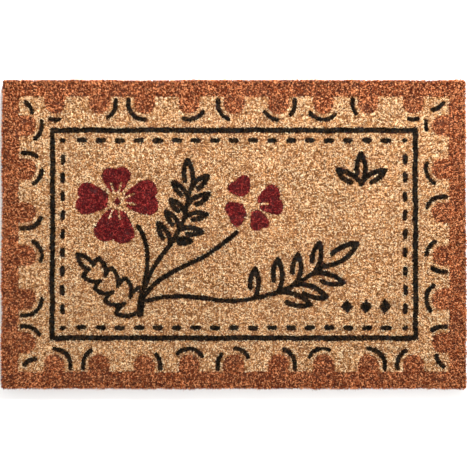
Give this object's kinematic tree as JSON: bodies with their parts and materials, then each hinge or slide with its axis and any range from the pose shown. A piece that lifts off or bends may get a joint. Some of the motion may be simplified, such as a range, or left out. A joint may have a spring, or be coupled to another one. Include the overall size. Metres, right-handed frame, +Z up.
{
  "type": "door mat",
  "caption": "Rectangular woven coir door mat: dense sheared pile with a scalloped band, frame line and flower print, on a yarn backing with sewn edge braids.",
  "frame": {"origin": "centre of the underside, on the floor", "axes": "+X along the mat, towards the print's right side; +Y across it, towards the print's top; +Z up, out of the pile"},
  "size_m": [0.9144, 0.6096, 0.032],
  "materials": {
    "coir_natural": "undyed golden coir fibre, dry and coarse",
    "coir_brown": "red-brown dyed coir fibre",
    "coir_black": "black dyed coir fibre",
    "coir_crimson": "crimson dyed coir fibre",
    "coir_yarn": "spun coir yarn, two ply",
    "coir_braid": "flat plaited coir yarn",
    "twine": "waxed sewing twine"
  },
  "bodies": {
    "root": {"border_pile": "coir_brown", "margin_pile": "coir_natural", "field_pile": "coir_natural", "accent_pile": "coir_black", "frame_line_pile": "coir_black", "dash_pile": "coir_black", "large_flower_pile": "coir_crimson", "small_flower_pile": "coir_crimson", "flower_stem_pile": "coir_black", "left_leaf_pile": "coir_black", "upright_sprig_pile": "coir_black", "right_sprig_pile": "coir_black", "upper_ornament_pile": "coir_black", "lower_ornament_pile": "coir_black", "weft_yarns": "coir_yarn", "chain_yarns_odd": "coir_yarn", "chain_yarns_even": "coir_yarn", "edge_braid_front": "coir_braid", "edge_braid_back": "coir_braid", "edge_braid_left": "coir_braid", "edge_braid_right": "coir_braid", "edge_stitches_front": "twine", "edge_stitches_back": "twine", "edge_stitches_left": "twine", "edge_stitches_right": "twine"}
  },
  "joints": []
}
